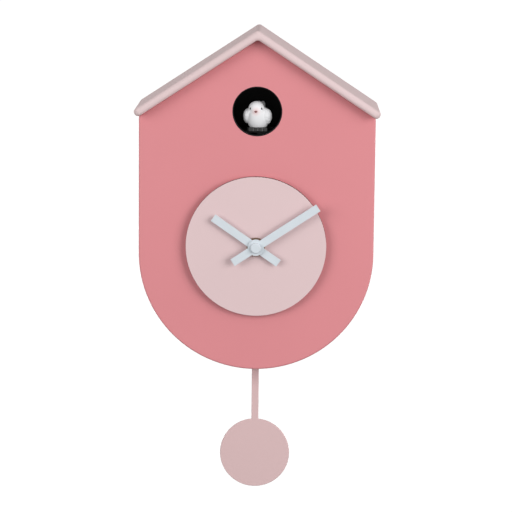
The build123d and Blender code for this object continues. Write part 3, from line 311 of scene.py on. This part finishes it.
def gloss(name, colour):
    """Polished plastic with a faint ripple and a few hairline marks."""
    finish = Finish(name, specular=0.5)
    finish.colour(finish.blend(finish.noise(200.0), scaled(colour, 0.8), scaled(colour, 1.3)))
    hairlines = finish.noise(700.0, 2.0, stretch=(1.0, 1.0, 0.06))
    finish.roughness(finish.spread(hairlines, 0.35, 0.75, 0.10, 0.24))
    finish.bump(finish.noise(180.0, 1.0), 0.03 * MM, 0.4)
    return finish.material


def turned_metal(name, colour, roughness, axis, lines):
    """Turned or drawn metal: fine tool lines round an axis, with light tarnish."""
    finish = Finish(name, metallic=1.0)
    tarnish = finish.spread(finish.noise(240.0, 4.0), 0.4, 0.7, 0.0, 0.5)
    finish.colour(finish.blend(tarnish, colour, scaled(colour, 0.72)))
    tool = finish.rings(lines, axis, distortion=0.6)
    finish.roughness(finish.spread(tool, 0.0, 1.0, roughness - 0.06, roughness + 0.08))
    finish.bump(tool, 0.012 * MM, 0.5)
    return finish.material


def plated_steel(name, colour, roughness):
    """Plated sheet: rolled streaks and small spangles."""
    finish = Finish(name, metallic=1.0)
    streaks = finish.noise(420.0, 3.0, stretch=(0.08, 1.0, 1.0))
    finish.colour(finish.blend(streaks, scaled(colour, 0.82), scaled(colour, 1.1)))
    finish.roughness(finish.spread(finish.noise(150.0, 4.0), 0.3, 0.7, roughness - 0.08, roughness + 0.1))
    finish.bump(streaks, 0.008 * MM, 0.5)
    return finish.material


def fibreboard(name, colour):
    """Raw fibreboard: felted fibres and dark chips."""
    finish = Finish(name, roughness=0.85, specular=0.2)
    fibres = finish.noise(900.0, 5.0, stretch=(1.0, 0.25, 1.0))
    felt = finish.blend(fibres, scaled(colour, 0.75), scaled(colour, 1.25))
    chips = finish.math("MULTIPLY", finish.specks(700.0, 0.22), 0.35)
    finish.colour(finish.blend(chips, felt, scaled(colour, 0.45)))
    finish.bump(fibres, 0.12 * MM, 0.6)
    return finish.material


def rubber(name, colour):
    """Dull rubber with a chalky bloom."""
    finish = Finish(name, specular=0.25)
    bloom = finish.spread(finish.noise(180.0, 4.0), 0.45, 0.75, 0.0, 0.5)
    finish.colour(finish.blend(bloom, colour, scaled(colour, 2.2)))
    finish.roughness(finish.spread(finish.noise(500.0), 0.3, 0.7, 0.7, 0.85))
    finish.bump(finish.noise(2200.0), 0.03 * MM, 0.5)
    return finish.material


def winding(name, colour, centre):
    """Enamelled copper wire, wound in close turns."""
    finish = Finish(name, metallic=0.8, roughness=0.32)
    turns = finish.bands(2500.0, "Y")
    finish.colour(finish.blend(turns, scaled(colour, 0.55), scaled(colour, 1.1)))
    finish.bump(turns, 0.08 * MM, 0.8)
    finish.bump(finish.rings(1500.0, "Y", centre), 0.05 * MM, 0.4)
    return finish.material


def sintered(name, colour):
    """Sintered magnet: dark, pitted, with a painted highlight on its edges."""
    finish = Finish(name, metallic=0.7)
    # Painted highlight: edges lightened towards a paler copy of the colour.
    edge_highlight = finish.math("MULTIPLY", finish.edges(0.4 * MM), 0.5)
    finish.colour(finish.blend(edge_highlight, colour, scaled(colour, 2.0)))
    finish.roughness(finish.spread(finish.noise(1200.0), 0.3, 0.7, 0.4, 0.6))
    finish.bump(finish.specks(1500.0, 0.3), -0.03 * MM, 0.5)
    return finish.material


def solder_mask(name, colour):
    """Green solder mask over a grid of copper tracks and round pads."""
    finish = Finish(name, specular=0.5)
    tracks = finish.math("MULTIPLY", finish.bands(180.0, "X"), finish.bands(120.0, "Z"))
    shown = finish.spread(tracks, 0.45, 0.55, 0.0, 0.45)
    traced = finish.blend(shown, colour, scaled(colour, 1.9))
    pads = finish.specks(210.0, 0.16)
    finish.colour(finish.blend(pads, traced, srgb(196, 188, 170)))
    finish.roughness(finish.spread(finish.noise(600.0), 0.3, 0.7, 0.28, 0.42))
    finish.bump(shown, 0.03 * MM, 0.6)
    return finish.material


def pressed_paper(name, colour, centre):
    """Pressed paper cone: fibres and shallow rings."""
    finish = Finish(name, roughness=0.9, specular=0.15)
    fibres = finish.noise(1300.0, 4.0)
    finish.colour(finish.blend(fibres, scaled(colour, 0.7), scaled(colour, 1.6)))
    finish.bump(finish.rings(160.0, "Y", centre), 0.2 * MM, 0.5)
    finish.bump(fibres, 0.06 * MM, 0.6)
    return finish.material


def cell_sleeve(name, colour, half_length):
    """A plain printed sleeve on each cell: a coloured third, a silver band and bare metal ends."""
    finish = Finish(name)
    along = finish.node("ShaderNodeSeparateXYZ")
    finish.join(finish.place(), along.inputs[0])
    band_start = 8.0 * MM
    band = finish.spread(along.outputs["X"], band_start - 0.2 * MM, band_start + 0.2 * MM, 0.0, 1.0)
    printed = finish.blend(band, colour, srgb(196, 198, 202))
    reach = finish.math("ABSOLUTE", along.outputs["X"], 0.0)
    sleeve_end = half_length - 1.1 * MM
    ends = finish.spread(reach, sleeve_end - 0.1 * MM, sleeve_end + 0.1 * MM, 0.0, 1.0)
    scuffs = finish.math("MULTIPLY", finish.noise(400.0, 4.0, stretch=(0.2, 1.0, 1.0)), 0.12)
    worn = finish.blend(scuffs, printed, srgb(225, 225, 225))
    finish.colour(finish.blend(ends, worn, srgb(205, 205, 208)))
    metal = finish.math("MAXIMUM", ends, finish.math("MULTIPLY", band, 0.85))
    finish.join(metal, finish.shader.inputs["Metallic"])
    finish.roughness(finish.spread(finish.noise(500.0), 0.3, 0.7, 0.22, 0.36))
    return finish.material


def lead_jacket(name, colour):
    """Soft PVC sleeve with an extruded streak."""
    finish = Finish(name, specular=0.4)
    streaks = finish.noise(900.0, 3.0, stretch=(0.3, 1.0, 1.0))
    finish.colour(finish.blend(streaks, scaled(colour, 0.7), scaled(colour, 1.8)))
    finish.roughness(finish.spread(streaks, 0.3, 0.7, 0.38, 0.55))
    finish.bump(streaks, 0.02 * MM, 0.5)
    return finish.material


def bird_paint(name, breast, head, bill_seat):
    """Matt white paint with a pink blush round the bill; the head is whiter than the breast as painted light
    from above, and creases get painted shade.
    """
    finish = Finish(name, specular=0.35)
    brushed = finish.noise(420.0, 3.0, stretch=(1.0, 1.0, 0.45))
    split = finish.node("ShaderNodeSeparateXYZ")
    finish.join(finish.place(), split.inputs[0])
    # Painted light from above: the colour goes from the breast white to a whiter head with height.
    painted_light_from_above = finish.spread(split.outputs["Z"], 9.0 * MM, 16.0 * MM, 0.0, 1.0)
    white = finish.blend(painted_light_from_above, breast, head)
    streaks = finish.spread(brushed, 0.3, 0.7, 0.0, 0.10)
    painted = finish.blend(streaks, white, scaled(breast, 0.8))
    # Painted shade: creases and hollows found by occlusion are darkened towards grey.
    hollows = finish.node("ShaderNodeAmbientOcclusion", samples=6, only_local=True)
    hollows.inputs["Distance"].default_value = 2.5 * MM
    painted_crease_shade = finish.spread(hollows.outputs["AO"], 0.4, 0.9, 0.14, 0.0)
    crease_shaded = finish.blend(painted_crease_shade, painted, srgb(150, 146, 150))
    blush = finish.math("MULTIPLY", finish.near(bill_seat, 4.6 * MM), 0.7)
    finish.colour(finish.blend(blush, crease_shaded, srgb(232, 184, 182)))
    finish.roughness(finish.spread(brushed, 0.3, 0.7, 0.42, 0.58))
    finish.bump(brushed, 0.05 * MM, 0.35)
    return finish.material


# Bird

def blob(bm, centre, radii, lean):
    """Adds an ellipsoid, in millimetres, turned about the X axis in degrees."""
    shape = Matrix.Translation(Vector(centre) * MM) @ Matrix.Rotation(math.radians(lean), 4, "X")
    shape = shape @ Matrix.Diagonal((*(radius * MM for radius in radii), 1.0))
    bmesh.ops.create_uvsphere(bm, u_segments=48, v_segments=32, radius=1.0, matrix=shape)


def finished_mesh(name, bm):
    """A new piece of the scene from a built mesh."""
    mesh = bpy.data.meshes.new(name)
    bm.to_mesh(mesh)
    bm.free()
    piece = bpy.data.objects.new(name, mesh)
    bpy.context.scene.collection.objects.link(piece)
    return piece


def applied(piece):
    """Applies a piece's modifiers to its mesh."""
    evaluated = piece.evaluated_get(bpy.context.evaluated_depsgraph_get())
    mesh = bpy.data.meshes.new_from_object(evaluated)
    piece.modifiers.clear()
    piece.data = mesh
    return piece


def wing_groove(point):
    """Depth of the feather lines, in millimetres: arcs on a wing's outer side, at a point in millimetres."""
    if abs(point.x) < 8.0:
        return 0.0
    reach = math.hypot(point.y + 3.0, point.z - 14.5)
    depth = 0.0
    for radius in WING_GROOVES:
        depth += 0.30 * math.exp(-(((reach - radius) / 0.45) ** 2))
    return depth


def sculpt_bird():
    """Breast, head, folded wings and raised tail, melted into one skin and cut flat at the feet."""
    bm = bmesh.new()
    for centre, radii, lean in SINGLE_FORMS:
        blob(bm, centre, radii, lean)
    for side in (1, -1):
        for offset, (x, y, z), radii, lean in PAIRED_FORMS:
            blob(bm, (side * offset + x, y, z), radii, lean)
    piece = finished_mesh("bird_figure", bm)
    remesh = piece.modifiers.new("skin", "REMESH")
    remesh.mode = "VOXEL"
    remesh.voxel_size = BIRD_VOXEL
    smooth = piece.modifiers.new("soften", "SMOOTH")
    smooth.factor = 0.5
    smooth.iterations = 9
    applied(piece)
    normals = [vertex.normal.copy() for vertex in piece.data.vertices]
    for vertex, normal in zip(piece.data.vertices, normals):
        vertex.co -= normal * wing_groove(vertex.co / MM) * MM
        vertex.co.z = max(vertex.co.z, 0.0)
    piece.data.shade_smooth()
    return piece


def on_head(piece, turn, height):
    """Where a level line to the head's axis, turned from the front, meets a piece: the point and normal."""
    outward = Vector((math.sin(turn), -math.cos(turn), 0.0))
    start = HEAD_SHIFT + outward * 40 * MM + Vector((0.0, 0.0, height))
    _, point, normal, _ = piece.ray_cast(start, -outward)
    return point, normal


def lathe(bm, profile, frame_matrix, segments=32):
    """A closed surface turned about its local Z; profile has (radius, height) pairs from pole to pole."""
    rows = []
    for radius, height in profile:
        if radius == 0:
            rows.append([bm.verts.new(frame_matrix @ Vector((0, 0, height)))])
            continue
        ring = []
        for step in range(segments):
            angle = 2 * math.pi * step / segments
            corner = Vector((radius * math.cos(angle), radius * math.sin(angle), height))
            ring.append(bm.verts.new(frame_matrix @ corner))
        rows.append(ring)
    for low, high in zip(rows, rows[1:]):
        for step in range(segments):
            corners = [low[step % len(low)], low[(step + 1) % len(low)]]
            corners += [high[(step + 1) % len(high)], high[step % len(high)]]
            bm.faces.new(list(dict.fromkeys(corners)))


def bird_eyes(figure):
    """Two upright oval beads set in the head."""
    bm = bmesh.new()
    steps = 9
    for side in (1, -1):
        point, normal = on_head(figure, HEAD_TURN + side * EYE_TURN, EYE_HEIGHT)
        across = Vector((0, 0, 1)).cross(normal).normalized()
        upward = normal.cross(across)
        axes = Matrix((across, upward, normal)).transposed().to_4x4()
        seat = Matrix.Translation(point) @ axes @ Matrix.Diagonal((*EYE_SHAPE, 1.0))
        dome = [(0.0, -0.7 * MM)]
        for step in range(steps):
            angle = math.radians(-40 + 130 * step / steps)
            dome.append((math.cos(angle) * MM, math.sin(angle) * MM))
        dome.append((0.0, MM))
        lathe(bm, dome, seat)
    piece = finished_mesh("bird_eye_beads", bm)
    piece.data.shade_smooth()
    return piece


def bird_bill(figure):
    """A short bill, broad above and narrow below, that closes to a drooping tip."""
    point, _ = on_head(figure, HEAD_TURN, BILL_HEIGHT)
    reach = (point - HEAD_SHIFT).xy.length
    seat = Matrix.Translation(HEAD_SHIFT) @ Matrix.Rotation(HEAD_TURN, 4, "Z")
    bm = bmesh.new()
    segments = 24
    stations = 10
    rows = []
    for station in range(stations):
        share = station / (stations - 1)
        width = BILL_HALF_WIDTH * math.sqrt(max(0.0, 1 - share ** 1.6))
        height = BILL_HALF_DEPTH * math.sqrt(max(0.0, 1 - share ** 2.0))
        forward = BILL_SINK - reach - BILL_LENGTH * share
        centre = point.z - BILL_DROOP * share ** 2
        ring = []
        for step in range(segments):
            angle = 2 * math.pi * step / segments
            across = width * math.cos(angle) * (0.66 + 0.40 * math.sin(angle))
            ring.append(bm.verts.new(seat @ Vector((across, forward, centre + height * math.sin(angle)))))
        rows.append(ring)
    for low, high in zip(rows, rows[1:]):
        for step in range(segments):
            after = (step + 1) % segments
            bm.faces.new((low[step], low[after], high[after], high[step]))
    bm.faces.new(list(reversed(rows[0])))
    bmesh.ops.remove_doubles(bm, verts=bm.verts, dist=0.002 * MM)
    bmesh.ops.recalc_face_normals(bm, faces=bm.faces)
    piece = finished_mesh("bird_bill", bm)
    piece.data.shade_smooth()
    return piece


def make_bird(finishes):
    """The figure, its eyes and its bill, on the perch and in place of the plain solids."""
    figure = sculpt_bird()
    perch_low, perch_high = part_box("bird_perch")
    place = Vector(((perch_low.x + perch_high.x) / 2, BIRD_Y, perch_high.z))
    pieces = {
        "bird_body": figure,
        "bird_eyes": bird_eyes(figure),
        "bird_beak": bird_bill(figure),
    }
    slots = {row["node"]: row["material_slot"] for row in frame["record"]["subparts"]}
    for node, piece in pieces.items():
        piece.matrix_world = Matrix.Translation(place) @ Matrix.Rotation(BIRD_TURN, 4, "Z")
        piece.data.materials.append(finishes[slots[node]])
        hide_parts(node)
        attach(piece, "bird")


# Finishes on the CAD pieces

ROSE = srgb(223, 142, 147)
ROOF_PINK = srgb(229, 206, 206)
DIAL_PINK = srgb(226, 200, 201)
BOB_PINK = srgb(222, 191, 191)


def middle(node):
    """The middle of a CAD piece's box."""
    low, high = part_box(node)
    return tuple((low + high) / 2)


def make_finishes():
    """The record's material slots, each with its finish."""
    cell_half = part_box("batteries")[1].x
    head_turn = Matrix.Rotation(HEAD_TURN, 4, "Z")
    bill_seat = HEAD_SHIFT + head_turn @ Vector((0.0, -BILL_REACH, BILL_HEIGHT))
    return {
        "rose_lacquer": lacquer("rose_lacquer", ROSE),
        "pale_roof_lacquer": lacquer("pale_roof_lacquer", ROOF_PINK, 0.12, 0.68),
        # The dial's edge colour is painted shade along its rim.
        "pale_dial_lacquer": lacquer("pale_dial_lacquer", DIAL_PINK, shaded_rim=srgb(58, 32, 30)),
        "pendulum_lacquer": lacquer("pendulum_lacquer", BOB_PINK),
        "raw_fibreboard": fibreboard("raw_fibreboard", srgb(176, 142, 104)),
        "hand_enamel": enamel("hand_enamel", srgb(214, 222, 228)),
        "black_moulding": moulding("black_moulding", srgb(14, 14, 15), specular=0.2),
        "gloss_black": gloss("gloss_black", srgb(18, 18, 18)),
        "back_moulding": moulding("back_moulding", srgb(36, 36, 38), 0.6, 1.4),
        "white_moulding": moulding("white_moulding", srgb(232, 231, 226), 0.42, 0.4),
        # The second white, for the head, is painted light from above.
        "bird_white": bird_paint("bird_white", srgb(230, 230, 232), srgb(250, 249, 251), bill_seat),
        "bird_eye": gloss("bird_eye", srgb(30, 28, 28)),
        "bird_beak": enamel("bird_beak", srgb(142, 94, 92)),
        "brass": turned_metal("brass", srgb(214, 178, 112), 0.3, "Y", 1400.0),
        "bronzed_brass": turned_metal("bronzed_brass", srgb(132, 110, 86), 0.36, "Y", 1400.0),
        "steel": plated_steel("steel", srgb(160, 161, 165), 0.32),
        "motor_can": turned_metal("motor_can", srgb(184, 185, 188), 0.34, "Z", 900.0),
        "rubber": rubber("rubber", srgb(34, 34, 34)),
        "copper_wire": winding("copper_wire", srgb(198, 122, 74), middle("drive_coil")),
        "magnet": sintered("magnet", srgb(92, 92, 96)),
        "circuit_board": solder_mask("circuit_board", srgb(34, 110, 70)),
        "board_parts": moulding("board_parts", srgb(38, 38, 40), 0.5, 0.8),
        "speaker_paper": pressed_paper("speaker_paper", srgb(52, 50, 48), middle("speaker_cone")),
        "cell_wrap": cell_sleeve("cell_wrap", srgb(46, 72, 108), cell_half),
        "lead_jacket": lead_jacket("lead_jacket", srgb(30, 30, 31)),
    }


def finish_nodes(finishes):
    """Gives each CAD piece the finish of its material slot."""
    for row in frame["record"]["subparts"]:
        piece = frame["nodes"][row["node"]]
        for slot in piece.material_slots:
            slot.material = finishes[row["material_slot"]]


# Stage, light and camera

def seen_or_mirrored(tree):
    """1 for rays from the camera, from reflections and through clear pieces, and 0 for other light."""
    path = tree.nodes.new("ShaderNodeLightPath")
    seen = path.outputs["Is Camera Ray"]
    for kind in ("Is Glossy Ray", "Is Transmission Ray"):
        either = tree.nodes.new("ShaderNodeMath")
        either.operation = "MAXIMUM"
        tree.links.new(seen, either.inputs[0])
        tree.links.new(path.outputs[kind], either.inputs[1])
        seen = either.outputs[0]
    return seen


def direction(azimuth, elevation):
    """From the clock outward, in degrees: azimuth is from the front to the right, elevation is upward."""
    turn, rise = math.radians(azimuth), math.radians(elevation)
    return Vector((math.sin(turn) * math.cos(rise), -math.cos(turn) * math.cos(rise), math.sin(rise)))


def make_floor():
    """A wide floor well below the clock: grey to the light, white where it is seen, and taking the shadow."""
    bm = bmesh.new()
    bmesh.ops.create_grid(bm, x_segments=1, y_segments=1, size=FLOOR_HALF)
    floor = finished_mesh("floor", bm)
    floor.location.z = FLOOR_Z
    finish = Finish("floor_white", roughness=0.9, specular=0.0)
    finish.shader.inputs["Base Color"].default_value = FLOOR_COLOUR
    seen = seen_or_mirrored(finish.tree)
    lift = finish.node("ShaderNodeEmission")
    finish.join(finish.math("MULTIPLY", seen, FLOOR_LIFT), lift.inputs["Strength"])
    both = finish.node("ShaderNodeAddShader")
    finish.join(finish.shader.outputs[0], both.inputs[0])
    finish.join(lift.outputs[0], both.inputs[1])
    finish.join(both.outputs[0], finish.tree.nodes["Material Output"].inputs["Surface"])
    floor.data.materials.append(finish.material)


def make_world():
    """White where it is seen or mirrored, and an even fill elsewhere."""
    world = bpy.data.worlds.new("studio")
    bpy.context.scene.world = world
    world.use_nodes = True
    tree = world.node_tree
    fill = tree.nodes["Background"]
    fill.inputs["Color"].default_value = (1.0, 1.0, 1.0, 1.0)
    fill.inputs["Strength"].default_value = AMBIENT
    white = tree.nodes.new("ShaderNodeBackground")
    white.inputs["Color"].default_value = (1.0, 1.0, 1.0, 1.0)
    choose = tree.nodes.new("ShaderNodeMixShader")
    tree.links.new(seen_or_mirrored(tree), choose.inputs["Fac"])
    tree.links.new(fill.outputs[0], choose.inputs[1])
    tree.links.new(white.outputs[0], choose.inputs[2])
    tree.links.new(choose.outputs[0], tree.nodes["World Output"].inputs["Surface"])


def softbox(name, azimuth, elevation, distance, level):
    """A square soft lamp aimed at the clock's face."""
    toward = direction(azimuth, elevation)
    data = bpy.data.lights.new(name, "AREA")
    data.shape = "SQUARE"
    data.size = LAMP_SIZE
    data.energy = level * (math.pi * distance) ** 2
    lamp = bpy.data.objects.new(name, data)
    bpy.context.scene.collection.objects.link(lamp)
    lamp.location = LIT_FACE + toward * distance
    lamp.rotation_euler = (-toward).to_track_quat("-Z", "Y").to_euler()


def make_camera():
    """The photo's view: a long lens aimed at the clock, turned a little about its own axis."""
    toward = direction(VIEW_AZIMUTH, VIEW_ELEVATION)
    data = bpy.data.cameras.new("camera")
    data.sensor_width = SENSOR
    data.lens = SENSOR * FOCAL_PIXELS / IMAGE_SIZE
    camera = bpy.data.objects.new("camera", data)
    bpy.context.scene.collection.objects.link(camera)
    turn = (-toward).to_track_quat("-Z", "Y").to_matrix().to_4x4()
    place = Matrix.Translation(VIEW_TARGET + toward * VIEW_DISTANCE)
    camera.matrix_world = place @ turn @ Matrix.Rotation(VIEW_ROLL, 4, "Z")
    bpy.context.scene.camera = camera


bpy.context.scene.view_settings.view_transform = "Standard"
FINISHES = make_finishes()
finish_nodes(FINISHES)
make_bird(FINISHES)
make_floor()
make_world()
for lamp in LAMPS:
    softbox(*lamp)
make_camera()
